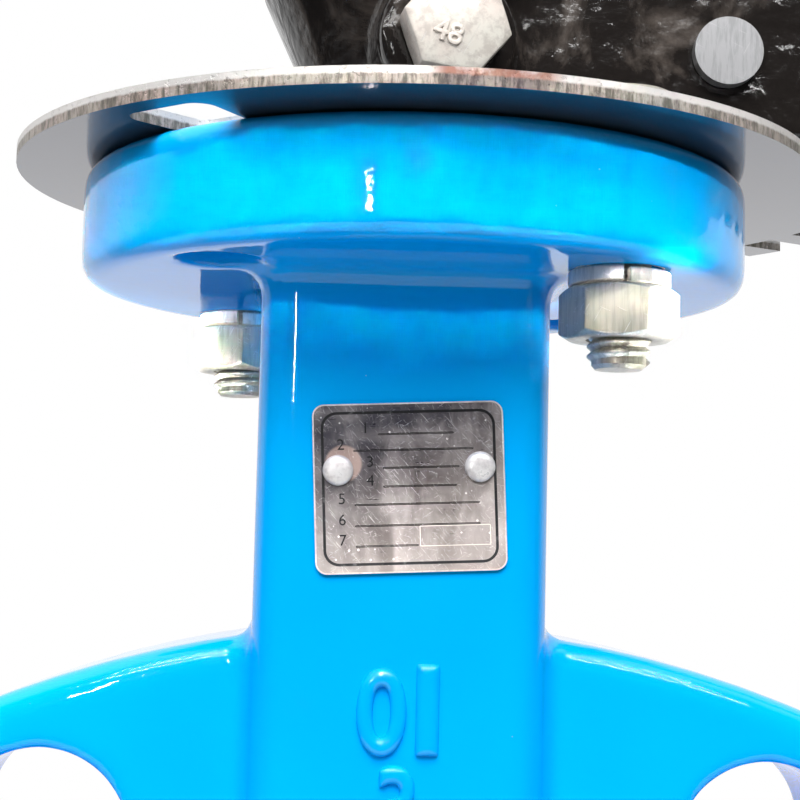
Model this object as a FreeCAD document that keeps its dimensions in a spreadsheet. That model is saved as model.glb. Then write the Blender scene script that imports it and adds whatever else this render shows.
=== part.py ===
import FreeCAD, Part
import math
import os
import re

import Sketcher

# Lever-operated wafer butterfly valve, DN150. Millimetres, +Z up along the stem, flow along Y.
# The origin is the centre of the disc. The valve is closed and its lever points along +X.

Vector = FreeCAD.Vector
doc = FreeCAD.newDocument("ButterflyValve")
sheet = doc.addObject("Spreadsheet::Sheet", "Sizes")

SIZES = {
    # pipe passage and ring
    "seat_radius": 75.0,
    "seat_wall": 11.0,
    "face_half": 28.0,
    "lip_radius": 97.0,
    "lip_height": 1.5,
    "ring_radius": 106.0,
    "ring_edge": 3.0,
    # lugs that take the pipe flange bolts
    "lug_radius": 138.5,
    "lug_half_depth": 16.0,
    "lug_half_angle": 33.0,
    "lug_edge": 3.0,
    "lug_corner": 14.0,
    "pipe_bolt_circle": 240.0,
    "pipe_bolt_hole": 23.0,
    "pipe_bolt_angle": 22.5,
    # neck, top flange and bottom boss
    "neck_width": 37.0,
    "neck_depth": 44.0,
    "neck_shift": -1.35,
    "neck_corner": 5.0,
    "neck_fillet": 1.5,
    "root_depth": 45.0,
    "top_face": 198.0,
    "flange_thickness": 15.0,
    "flange_radius": 45.0,
    "flange_edge": 2.5,
    "bolt_circle": 70.0,
    "flange_hole": 10.3,
    "boss_radius": 22.0,
    "boss_depth": 139.0,
    "recess_radius": 15.0,
    "recess_depth": 4.5,
    # stem and its bearings
    "stem_radius": 9.5,
    "stem_flats": 14.0,
    "stem_stand": 34.0,
    "stem_foot": 119.0,
    "stem_chamfer": 1.0,
    "groove_depth": 1.0,
    "circlip_thickness": 1.5,
    "circlip_opening": 6.0,
    "bearing_radius": 12.0,
    "lower_bushing_length": 28.0,
    "middle_bushing_length": 20.0,
    "upper_bushing_length": 30.0,
    "upper_ring_drop": 35.0,
    "lower_ring_drop": 41.0,
    "thrust_thickness": 1.0,
    "dust_seal_height": 1.6,
    "plug_radius": 16.0,
    "plug_height": 5.0,
    "plug_flats": 10.0,
    "plug_socket": 6.0,
    "plug_seal": 1.5,
    "plug_gap": 3.0,
    "running_gap": 0.06,
    "fit_gap": 0.02,
    # disc
    "disc_gap": 0.15,
    "disc_rim": 7.0,
    "disc_dome": 4.5,
    "disc_hub": 17.0,
    "disc_land": 12.0,
    "disc_step": 6.0,
    "boss_wall": 5.0,
    "boss_rise": 2.0,
    "pin_height": 38.0,
    "pin_radius": 4.0,
    # notch plate and its fasteners
    "plate_thickness": 2.0,
    "plate_radius": 54.0,
    "fan_radius": 72.0,
    "fan_start": -9.0,
    "fan_end": 99.0,
    "notch_width": 6.0,
    "notch_depth": 8.0,
    "notch_step": 10.0,
    "fan_corner": 5.0,
    "window_start": -135.4,
    "window_end": -120.5,
    "window_wall": 3.0,
    "window_corner": 2.5,
    "bolt_radius": 4.0,
    "bolt_gap": 0.3,
    "bolt_flats": 13.0,
    "bolt_head": 5.3,
    "bolt_length": 29.6,
    "nut_height": 6.5,
    "washer_height": 2.1,
    "washer_radius": 6.4,
    "washer_split": 1.2,
    # lever
    "lever_gap": 0.5,
    "hub_radius": 15.3,
    "hub_flare": 22.0,
    "hub_height": 33.5,
    "hub_taper_start": 10.5,
    "hub_taper_end": 25.0,
    "hub_edge": 4.0,
    "arm_half_width": 15.0,
    "arm_wall": 4.0,
    "arm_length": 270.0,
    "arm_rise": 28.0,
    "arm_slope": 0.065,
    "arm_edge": 3.5,
    "clamp_height": 13.3,
    "clamp_angle": 8.0,
    "clamp_flats": 12.0,
    "clamp_collar": 0.4,
    "flat_gap": 0.04,
    # latch
    "pivot_reach": 40.0,
    "pivot_height": 14.0,
    "pivot_radius": 3.0,
    "latch_half_width": 7.0,
    "latch_reach": 205.0,
    "tooth_gap": 0.4,
    "tooth_inset": 6.0,
    "tooth_width": 5.0,
    "eye_wall": 3.5,
    "tail_slope": 0.038,
    "spring_radius": 4.2,
    "spring_wire": 0.6,
    "spring_reach": 100.0,
    "spring_gap": 0.3,
    # nameplate
    "label_width": 23.7,
    "label_height": 21.0,
    "label_thickness": 0.5,
    "label_corner": 1.5,
    "label_across": -0.6,
    "label_drop": 42.2,
    "label_turn": 2.9,
    "rivet_spacing": 17.6,
    "rivet_rise": 2.3,
    "rivet_head": 1.9,
    "rivet_shank": 1.0,
    "rivet_dome": 0.95,
    "rivet_depth": 5.0,
}

for row, (alias, number) in enumerate(SIZES.items(), start=1):
    sheet.set(f"A{row}", alias)
    sheet.set(f"B{row}", str(number))
    sheet.setAlias(f"B{row}", alias)
doc.recompute()


def formula(text):
    """Turn the size names in a text into references to the sheet."""
    return re.sub(r"[a-z_]+", lambda word: "Sizes." + word[0] if word[0] in SIZES else word[0], str(text))


def value(text):
    """Work out a formula now, as a plain number."""
    return float(sheet.evalExpression(formula(text)))


def bind(thing, prop, text):
    """Bind a property to a formula of sheet sizes."""
    thing.setExpression(prop, formula(text))


# Places that several pieces share, as formulas of the sheet's sizes.
METAL_HALF = "(face_half - lip_height)"
BODY_BORE = "(seat_radius + seat_wall)"
UNDERSIDE = "(top_face - flange_thickness)"
PLATE_TOP = "(top_face + plate_thickness)"
HUB_FOOT = f"({PLATE_TOP} + lever_gap)"
CLAMP_LEVEL = f"({PLATE_TOP} + clamp_height)"
CLAMP_FACE = "(hub_flare + 1)"
CLAMP_HEAD_TURN = 58
PIVOT_LEVEL = f"({PLATE_TOP} + pivot_height)"
STEM_END = "(top_face + stem_stand)"
HUB_TOP = f"({HUB_FOOT} + hub_height)"
BEARING_BORE = "(stem_radius + running_gap)"
BUSH_OUTER = "(bearing_radius - fit_gap)"
GROOVE_RADIUS = "(stem_radius - groove_depth)"
RECESS_FLOOR = "(top_face - recess_depth)"
PLUG_SEAT = "(boss_depth + plug_seal)"
TAIL_START = "(fan_radius + 6)"
CLIP_BORE = "(pivot_radius - 0.8)"
BOLT_OFFSET = "(bolt_circle / 2 * cos(45))"
BOLT_PLACES = [(BOLT_OFFSET, f"-{BOLT_OFFSET}", 48), (f"-{BOLT_OFFSET}", BOLT_OFFSET, 34.5)]
NOTCHES = int(round(90.0 / SIZES["notch_step"])) + 1


# ---------------------------------------------------------------- helpers

def new_body(label):
    body = doc.addObject("PartDesign::Body", label)
    body.Label = label
    body.AllowCompound = True
    return body


def origin_part(body, role):
    return next(item for item in body.Origin.OriginFeatures if item.Role == role)


def new_sketch(body, plane, lift=None):
    """A sketch on one of the body's own origin planes, lifted along its normal."""
    sketch = body.newObject("Sketcher::SketchObject", body.Label + "_sketch")
    sketch.AttachmentSupport = [(origin_part(body, plane), "")]
    sketch.MapMode = "FlatFace"
    if lift is not None:
        bind(sketch, "AttachmentOffset.Base.z", lift)
    return sketch


def set_distance(sketch, kind, geometry, point, text):
    """Dimension a point from the sketch's origin along one axis."""
    number = value(text)
    index = sketch.addConstraint(Sketcher.Constraint(kind, -1, 1, geometry, point, number))
    bind(sketch, f"Constraints[{index}]", text)


def add_circle(sketch, across, up, radius):
    """A circle with its centre and radius dimensioned by formulas."""
    centre = Vector(value(across), value(up), 0)
    circle = sketch.addGeometry(Part.Circle(centre, Vector(0, 0, 1), value(radius)))
    set_distance(sketch, "DistanceX", circle, 3, across)
    set_distance(sketch, "DistanceY", circle, 3, up)
    index = sketch.addConstraint(Sketcher.Constraint("Radius", circle, value(radius)))
    bind(sketch, f"Constraints[{index}]", radius)


def add_outline(sketch, corners):
    """A closed polygon whose corners are pairs of formulas."""
    points = [Vector(value(across), value(up), 0) for across, up in corners]
    first = None
    for start, end in zip(points, points[1:] + points[:1]):
        line = sketch.addGeometry(Part.LineSegment(start, end))
        first = line if first is None else first
    count = len(points)
    for index in range(count):
        following = first + (index + 1) % count
        sketch.addConstraint(Sketcher.Constraint("Coincident", first + index, 2, following, 1))
    for index, (across, up) in enumerate(corners):
        set_distance(sketch, "DistanceX", first + index, 1, across)
        set_distance(sketch, "DistanceY", first + index, 1, up)


def add_box_outline(sketch, left, right, low, high):
    add_outline(sketch, [(left, low), (right, low), (right, high), (left, high)])


def regular_corners(across, up, flats, sides=6, turn=0):
    """Corner formulas of a regular polygon, given its distance across flats."""
    radius = f"({flats}) / 2 / cos({180 / sides})"
    angles = [turn + 360 / sides * index for index in range(sides)]
    return [(f"({across}) + {radius} * cos({a})", f"({up}) + {radius} * sin({a})") for a in angles]


def pad(body, sketch, length, symmetric=False, backwards=False):
    feature = body.newObject("PartDesign::Pad", body.Label + "_pad")
    feature.Profile = sketch
    bind(feature, "Length", length)
    feature.SideType = "Symmetric" if symmetric else "One side"
    feature.Reversed = backwards
    return feature


def pocket(body, sketch, length, symmetric=False, backwards=False):
    feature = body.newObject("PartDesign::Pocket", body.Label + "_pocket")
    feature.Profile = sketch
    bind(feature, "Length", length)
    feature.SideType = "Symmetric" if symmetric else "One side"
    feature.Reversed = backwards
    return feature


def turn_profile(body, corners, axis="V_Axis", plane="XZ_Plane", kind="Revolution"):
    """A full turn of a polygon about one of its sketch's axes."""
    sketch = new_sketch(body, plane)
    add_outline(sketch, corners)
    feature = body.newObject("PartDesign::" + kind, body.Label + "_turn")
    feature.Profile = sketch
    feature.ReferenceAxis = (sketch, [axis])
    feature.Angle = 360.0
    return feature


def turned(label, corners, axis="V_Axis", plane="XZ_Plane"):
    """A sub-part that is one turned profile."""
    body = new_body(label)
    turn_profile(body, corners, axis, plane)
    return body


def ring_corners(inner, outer, low, high):
    return [(inner, low), (outer, low), (outer, high), (inner, high)]


def repeat(body, features, count, angle=360.0, axis="Z_Axis"):
    """Repeat features about one of the body's own axes."""
    doc.recompute()
    pattern = body.newObject("PartDesign::PolarPattern", body.Label + "_pattern")
    pattern.Originals = features
    pattern.Axis = (origin_part(body, axis), [""])
    pattern.Angle = angle
    pattern.Occurrences = count
    body.Tip = pattern
    return pattern


def fillet(body, radius, wanted):
    """Round the edges of the body's last feature that a test picks."""
    doc.recompute()
    base = body.Tip
    names = [f"Edge{i}" for i, edge in enumerate(base.Shape.Edges, start=1) if wanted(edge)]
    if not names:
        raise ValueError(f"{body.Label}: no edge to round")
    feature = body.newObject("PartDesign::Fillet", body.Label + "_fillet")
    feature.Base = (base, names)
    bind(feature, "Radius", radius)
    doc.recompute()
    if "Invalid" in feature.State or feature.Shape.isNull():
        raise ValueError(f"{body.Label}: fillet of {radius} failed on {len(names)} edges")
    return feature


def primitive(kind, name, sizes, base=("0", "0", "0"), turn=None):
    """A Part primitive with bound sizes and a bound place."""
    thing = doc.addObject("Part::" + kind, name)
    for prop, text in sizes.items():
        bind(thing, prop, text)
    if turn is not None:
        thing.Placement = FreeCAD.Placement(Vector(), turn)
    for letter, text in zip("xyz", base):
        bind(thing, f"Placement.Base.{letter}", text)
    return thing


def combine(kind, label, shapes):
    """A Part boolean of several shapes."""
    result = doc.addObject("Part::" + kind, label)
    result.Shapes = shapes
    result.Label = label
    return result


def cut(label, base, tools):
    """A Part cut of one or several tools from a base."""
    tool = tools[0] if len(tools) == 1 else combine("MultiFuse", label + "_tools", tools)
    result = doc.addObject("Part::Cut", label)
    result.Base = base
    result.Tool = tool
    result.Refine = True
    result.Label = label
    return result


def near(number, target, slack=0.05):
    return abs(number - target) < slack


def at_height(edge, level):
    box = edge.BoundBox
    return near(box.ZMin, level) and near(box.ZMax, level)


ALONG_Y = FreeCAD.Rotation(Vector(0, 0, 1), Vector(0, 1, 0))
ALONG_MINUS_Y = FreeCAD.Rotation(Vector(0, 0, 1), Vector(0, -1, 0))
nodes = []

# ---------------------------------------------------------------- body

def make_body_casting():
    """Cast ring with bolt lugs, a neck with its top flange, and a bottom boss."""
    body = new_body("body_casting")
    lugs = new_sketch(body, "XZ_Plane")
    add_circle(lugs, "0", "0", "lug_radius")
    pad(body, lugs, "2 * lug_half_depth", symmetric=True)
    for side in ("", "-"):
        waste = new_sketch(body, "XZ_Plane")
        inner = f"{side}10"
        outer = f"{side}(lug_radius + 10)"
        slope = "tan(90 - lug_half_angle)"
        low, high = f"10 * {slope}", f"(lug_radius + 10) * {slope}"
        add_outline(waste, [(inner, low), (outer, high), (outer, f"-({high})"), (inner, f"-({low})")])
        pocket(body, waste, "3 * lug_half_depth", symmetric=True)
    fillet(body, "lug_corner", lambda edge: near(edge.Length, value("2 * lug_half_depth"))
           and abs(edge.CenterOfMass.x) > 30 and abs(edge.CenterOfMass.z) > 90)
    fillet(body, "lug_edge", lambda edge: near(abs(edge.CenterOfMass.y), value("lug_half_depth"))
           and abs(edge.CenterOfMass.z) > 60)

    neck = new_sketch(body, "XY_Plane", "lug_radius - root_depth")
    left, right = "neck_shift - neck_width / 2", "neck_shift + neck_width / 2"
    add_box_outline(neck, left, right, "-neck_depth / 2", "neck_depth / 2")
    pad(body, neck, f"{UNDERSIDE} - lug_radius + root_depth")
    boss = new_sketch(body, "XY_Plane", "-boss_depth")
    add_circle(boss, "0", "0", "boss_radius")
    pad(body, boss, "root_depth")
    ring = new_sketch(body, "XZ_Plane")
    add_circle(ring, "0", "0", "ring_radius")
    pad(body, ring, f"2 * {METAL_HALF}", symmetric=True)

    neck_side = value("neck_width / 2")
    neck_front = value("neck_depth / 2")
    neck_centre = value("neck_shift")
    fillet(body, "neck_corner", lambda edge: near(abs(edge.CenterOfMass.x - neck_centre), neck_side)
           and near(abs(edge.CenterOfMass.y), neck_front) and edge.CenterOfMass.z > 120)
    flange = new_sketch(body, "XY_Plane", UNDERSIDE)
    add_circle(flange, "0", "0", "flange_radius")
    pad(body, flange, "flange_thickness")
    fillet(body, "neck_fillet", lambda edge: at_height(edge, value(UNDERSIDE))
           and edge.CenterOfMass.Length < value(UNDERSIDE) + 5
           and edge.BoundBox.DiagonalLength < 60)
    fillet(body, "flange_edge", lambda edge: edge.BoundBox.XLength > 80
           and (at_height(edge, value(UNDERSIDE)) or at_height(edge, value("top_face"))))
    fillet(body, "ring_edge", lambda edge: near(abs(edge.CenterOfMass.y), value(METAL_HALF))
           and edge.BoundBox.XLength > 200)

    bore = new_sketch(body, "XZ_Plane")
    add_circle(bore, "0", "0", BODY_BORE)
    pocket(body, bore, "3 * face_half", symmetric=True)
    stem_bore = new_sketch(body, "XY_Plane")
    add_circle(stem_bore, "0", "0", "bearing_radius")
    pocket(body, stem_bore, "2 * top_face + 10", symmetric=True)
    recess = new_sketch(body, "XY_Plane", "top_face")
    add_circle(recess, "0", "0", "recess_radius")
    pocket(body, recess, "recess_depth")
    holes = new_sketch(body, "XY_Plane", "top_face")
    for side_x in ("", "-"):
        for side_y in ("", "-"):
            add_circle(holes, side_x + BOLT_OFFSET, side_y + BOLT_OFFSET, "flange_hole / 2")
    pocket(body, holes, "flange_thickness + 5")
    pipe_holes = new_sketch(body, "XZ_Plane")
    for side_x in ("", "-"):
        for side_z in ("", "-"):
            across = f"{side_x}(pipe_bolt_circle / 2 * sin(pipe_bolt_angle))"
            up = f"{side_z}(pipe_bolt_circle / 2 * cos(pipe_bolt_angle))"
            add_circle(pipe_holes, across, up, "pipe_bolt_hole / 2")
    pocket(body, pipe_holes, "3 * lug_half_depth", symmetric=True)
    rivet_holes = new_sketch(body, "XZ_Plane", "neck_depth / 2")
    for side in ("-", ""):
        across, up = label_point(f"{side}rivet_spacing / 2", "rivet_rise")
        add_circle(rivet_holes, across, up, "rivet_shank + fit_gap")
    pocket(body, rivet_holes, "rivet_depth + 1")
    return body


def label_point(across, up):
    """A point of the tilted nameplate, in the plane of the neck's front."""
    return (
        f"label_across + ({across}) * cos(label_turn) - ({up}) * sin(label_turn)",
        f"top_face - label_drop + ({across}) * sin(label_turn) + ({up}) * cos(label_turn)",
    )


def make_seat_liner():
    """Rubber liner whose lips stand proud of the metal on both faces."""
    body = new_body("seat_liner")
    outer = f"{BODY_BORE} - fit_gap"
    turn_profile(body, [
        ("seat_radius", "-face_half"), ("lip_radius", "-face_half"),
        ("lip_radius", f"-{METAL_HALF}"), (outer, f"-{METAL_HALF}"),
        (outer, METAL_HALF), ("lip_radius", METAL_HALF),
        ("lip_radius", "face_half"), ("seat_radius", "face_half"),
    ], plane="XY_Plane")
    holes = new_sketch(body, "XY_Plane")
    add_circle(holes, "0", "0", BEARING_BORE)
    pocket(body, holes, f"2 * {BODY_BORE} + 10", symmetric=True)
    return body


def make_lower_bushing():
    low = "1 - stem_foot"
    high = f"{low} + lower_bushing_length"
    return turned("lower_bushing", ring_corners(BEARING_BORE, BUSH_OUTER, low, high))


def make_middle_bushing():
    low = f"{BODY_BORE} + 2"
    high = f"{low} + middle_bushing_length"
    return turned("middle_bushing", ring_corners(BEARING_BORE, BUSH_OUTER, low, high))


def make_upper_bushing():
    low = f"{RECESS_FLOOR} - upper_bushing_length"
    return turned("upper_bushing", ring_corners(BEARING_BORE, BUSH_OUTER, low, RECESS_FLOOR))


def make_o_rings():
    """Two rubber rings that seal the stem below the upper bushing."""
    body = new_body("stem_o_rings")
    section = f"(({BUSH_OUTER}) - stem_radius - 0.1) / 2"
    sketch = new_sketch(body, "XZ_Plane")
    for drop in ("upper_ring_drop", "lower_ring_drop"):
        add_circle(sketch, f"{BUSH_OUTER} - {section}", f"{RECESS_FLOOR} - {drop}", section)
    feature = body.newObject("PartDesign::Revolution", "o_rings_turn")
    feature.Profile = sketch
    feature.ReferenceAxis = (sketch, ["V_Axis"])
    feature.Angle = 360.0
    return body


def make_thrust_washer():
    return turned("thrust_washer", ring_corners(BEARING_BORE, "recess_radius - 0.2",
                                                RECESS_FLOOR, f"{RECESS_FLOOR} + thrust_thickness"))


def make_dust_seal():
    return turned("dust_seal", ring_corners("stem_radius + 0.1", "recess_radius - 0.1",
                                            "top_face - dust_seal_height", "top_face"))


def make_bottom_plug():
    """Threaded plug with a hexagon socket that closes the lower stem bore."""
    body = new_body("bottom_plug")
    seat, foot, tip = f"-{PLUG_SEAT}", f"-{PLUG_SEAT} - plug_height", "-stem_foot - plug_gap"
    turn_profile(body, [
        ("0", foot), ("plug_radius - 1", foot), ("plug_radius", f"{foot} + 1"), ("plug_radius", seat),
        (BUSH_OUTER, seat), (BUSH_OUTER, f"{tip} - 1"), (f"{BUSH_OUTER} - 1", tip), ("0", tip),
    ])
    socket = new_sketch(body, "XY_Plane", foot)
    add_outline(socket, regular_corners("0", "0", "plug_flats"))
    pocket(body, socket, "plug_socket", backwards=True)
    return body


def make_plug_seal():
    return turned("bottom_plug_seal", ring_corners("bearing_radius + 0.2", "plug_radius",
                                                   f"-{PLUG_SEAT}", "-boss_depth"))


# ---------------------------------------------------------------- stem and disc

def clamp_corner(out, along):
    """A point given along the clamp bolt's direction and square to it."""
    return (f"({out}) * sin(clamp_angle) + ({along}) * cos(clamp_angle)",
            f"({along}) * sin(clamp_angle) - ({out}) * cos(clamp_angle)")


def make_stem():
    """One long shaft with a clip groove, pin holes and a double-D top."""
    body = new_body("stem")
    low, high = circlip_faces("0.05")
    turn_profile(body, [
        ("0", "-stem_foot"), ("stem_radius - stem_chamfer", "-stem_foot"),
        ("stem_radius", "stem_chamfer - stem_foot"), ("stem_radius", low), (GROOVE_RADIUS, low),
        (GROOVE_RADIUS, high), ("stem_radius", high), ("stem_radius", f"{STEM_END} - stem_chamfer"),
        ("stem_radius - stem_chamfer", STEM_END), ("0", STEM_END),
    ])
    for side in ("", "-"):
        flat = new_sketch(body, "XY_Plane", STEM_END)
        near_side, far_side = f"{side}stem_flats / 2", f"{side}(stem_radius + 2)"
        ahead, behind = "stem_radius + 2.5", "-stem_radius - 2.5"
        corners = [(near_side, behind), (far_side, behind), (far_side, ahead), (near_side, ahead)]
        add_outline(flat, [clamp_corner(out, along) for out, along in corners])
        pocket(body, flat, f"{STEM_END} - {HUB_FOOT}")
    pins = new_sketch(body, "XZ_Plane")
    for side in ("", "-"):
        add_circle(pins, "0", side + "pin_height", "pin_radius + fit_gap")
    pocket(body, pins, "3 * stem_radius", symmetric=True)
    return body


def circlip_faces(gap):
    """Lower and upper face of the retaining ring above the thrust washer, with a gap outside both."""
    return (f"{RECESS_FLOOR} + thrust_thickness + 0.1 - {gap}",
            f"{RECESS_FLOOR} + thrust_thickness + 0.1 + circlip_thickness + {gap}")


def make_circlip():
    """Retaining ring in the stem's groove, open on one side."""
    body = new_body("stem_circlip")
    low, high = circlip_faces("0")
    turn_profile(body, ring_corners(f"{GROOVE_RADIUS} + fit_gap", "recess_radius - 1.5", low, high))
    opening = new_sketch(body, "XY_Plane", "top_face")
    add_box_outline(opening, "-circlip_opening / 2", "circlip_opening / 2", "0", "recess_radius + 4.5")
    pocket(body, opening, "flange_thickness")
    return body


def make_disc():
    """Domed disc with a vertical hub and pin bosses, all inside one sphere."""
    sphere_radius = "seat_radius - disc_gap"
    rim = primitive("Cylinder", "disc_rim_plate", {"Radius": sphere_radius, "Height": "disc_rim"},
                    ("0", "-disc_rim / 2", "0"), ALONG_Y)
    shapes = [rim]
    outer, inner = "seat_radius - disc_land", "disc_hub + disc_step"
    for name, turn, side in (("disc_dome_back", ALONG_Y, ""), ("disc_dome_front", ALONG_MINUS_Y, "-")):
        sizes = {"Radius1": outer, "Radius2": inner, "Height": "disc_dome"}
        shapes.append(primitive("Cone", name, sizes, ("0", f"{side}disc_rim / 2", "0"), turn))
    shapes.append(primitive("Cylinder", "disc_hub_bar", {"Radius": "disc_hub", "Height": "2 * seat_radius"},
                            ("0", "0", "-seat_radius")))
    for name, side in (("disc_boss_upper", ""), ("disc_boss_lower", "-")):
        sizes = {"Radius": "pin_radius + boss_wall", "Height": "2 * (disc_hub + boss_rise)"}
        base = ("0", "-disc_hub - boss_rise", side + "pin_height")
        shapes.append(primitive("Cylinder", name, sizes, base, ALONG_Y))
    blank = combine("MultiFuse", "disc_blank", shapes)
    sphere = primitive("Sphere", "disc_sphere", {"Radius": sphere_radius})
    ball = combine("MultiCommon", "disc_ball", [blank, sphere])
    sizes = {"Radius": "stem_radius + fit_gap", "Height": "2 * seat_radius"}
    bores = [primitive("Cylinder", "disc_bore", sizes, ("0", "0", "-seat_radius"))]
    for name, side in (("disc_pin_hole_upper", ""), ("disc_pin_hole_lower", "-")):
        sizes = {"Radius": "pin_radius + fit_gap", "Height": "2 * disc_hub + 10"}
        bores.append(primitive("Cylinder", name, sizes, ("0", "-disc_hub - 5", side + "pin_height"), ALONG_Y))
    return cut("disc", ball, bores)


def make_disc_pins():
    """Two pins through the hub and the stem."""
    body = new_body("disc_pins")
    sketch = new_sketch(body, "XZ_Plane")
    for side in ("", "-"):
        add_circle(sketch, "0", side + "pin_height", "pin_radius")
    pad(body, sketch, "2 * (disc_hub + boss_rise) + 1", symmetric=True)
    return body


# ---------------------------------------------------------------- notch plate and its fasteners

def make_notch_plate():
    """Round steel plate with a notched fan that the latch's tooth drops into."""
    body = new_body("notch_plate")
    blank = new_sketch(body, "XY_Plane", "top_face")
    add_circle(blank, "0", "0", "fan_radius")
    pad(body, blank, "plate_thickness")
    waste = new_sketch(body, "XY_Plane", "top_face")
    reach = "2 * fan_radius"
    add_outline(waste, [
        ("0", "0"), (f"{reach} * cos(fan_end)", f"{reach} * sin(fan_end)"), (f"-{reach}", reach),
        (f"-{reach}", f"-{reach}"), (reach, f"-{reach}"),
        (f"{reach} * cos(fan_start)", f"{reach} * sin(fan_start)"),
    ])
    pocket(body, waste, "plate_thickness", backwards=True)
    fillet(body, "fan_corner", lambda edge: near(edge.Length, value("plate_thickness"))
           and edge.CenterOfMass.x ** 2 + edge.CenterOfMass.y ** 2 > value("plate_radius ^ 2"))
    disc_sketch = new_sketch(body, "XY_Plane", "top_face")
    add_circle(disc_sketch, "0", "0", "plate_radius")
    pad(body, disc_sketch, "plate_thickness")
    holes = new_sketch(body, "XY_Plane", "top_face")
    add_circle(holes, "0", "0", "stem_radius + 0.7")
    for across, up, _ in BOLT_PLACES:
        add_circle(holes, across, up, "bolt_radius + bolt_gap")
    pocket(body, holes, "plate_thickness", backwards=True)
    window = new_sketch(body, "XY_Plane", "top_face")
    inner, outer = "(bolt_circle / 2 + 3)", "(plate_radius - window_wall)"
    corners = [(inner, "window_start"), (outer, "window_start"), (outer, "window_end"), (inner, "window_end")]
    add_outline(window, [(f"{radius} * cos({turn})", f"{radius} * sin({turn})") for radius, turn in corners])
    pocket(body, window, "plate_thickness", backwards=True)
    notch = new_sketch(body, "XY_Plane", "top_face")
    inner, outer = "fan_radius - notch_depth", "fan_radius + 2"
    add_box_outline(notch, inner, outer, "-notch_width / 2", "notch_width / 2")
    notch_cut = pocket(body, notch, "plate_thickness", backwards=True)
    repeat(body, [notch_cut], NOTCHES, angle=90.0)
    fillet(body, "window_corner", lambda edge: near(edge.Length, value("plate_thickness"))
           and edge.CenterOfMass.y < -20 and edge.CenterOfMass.x < -10
           and edge.CenterOfMass.x ** 2 + edge.CenterOfMass.y ** 2 < value("(plate_radius - 1) ^ 2")
           and edge.Curve.TypeId == "Part::GeomLine")
    return body


def make_plate_bolts():
    """Two hexagon bolts from above through the plate and the top flange."""
    body = new_body("plate_bolts")
    heads = new_sketch(body, "XY_Plane", PLATE_TOP)
    for across, up, turn in BOLT_PLACES:
        add_outline(heads, regular_corners(across, up, "bolt_flats", turn=turn))
    pad(body, heads, "bolt_head")
    shanks = new_sketch(body, "XY_Plane", PLATE_TOP)
    for across, up, _ in BOLT_PLACES:
        add_circle(shanks, across, up, "bolt_radius")
    pad(body, shanks, "bolt_length", backwards=True)
    return body


def make_spring_washers():
    """Split rings between the flange and the nuts."""
    body = new_body("plate_spring_washers")
    rings = new_sketch(body, "XY_Plane", UNDERSIDE)
    for across, up, _ in BOLT_PLACES:
        add_circle(rings, across, up, "washer_radius")
        add_circle(rings, across, up, "bolt_radius + bolt_gap")
    pad(body, rings, "washer_height", backwards=True)
    splits = new_sketch(body, "XY_Plane", UNDERSIDE)
    for across, up, _ in BOLT_PLACES:
        left, right = f"{across} - washer_split / 2", f"{across} + washer_split / 2"
        add_box_outline(splits, left, right, f"{up} - washer_radius - 1", f"{up} - bolt_radius + 1")
    pocket(body, splits, "washer_height")
    return body


def make_nuts():
    """Two hexagon nuts below the spring washers."""
    body = new_body("plate_nuts")
    top = f"{UNDERSIDE} - washer_height"
    blanks = new_sketch(body, "XY_Plane", top)
    for across, up, turn in BOLT_PLACES:
        add_outline(blanks, regular_corners(across, up, "bolt_flats", turn=turn))
        add_circle(blanks, across, up, "bolt_radius + fit_gap")
    pad(body, blanks, "nut_height", backwards=True)
    return body


# ---------------------------------------------------------------- lever

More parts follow.
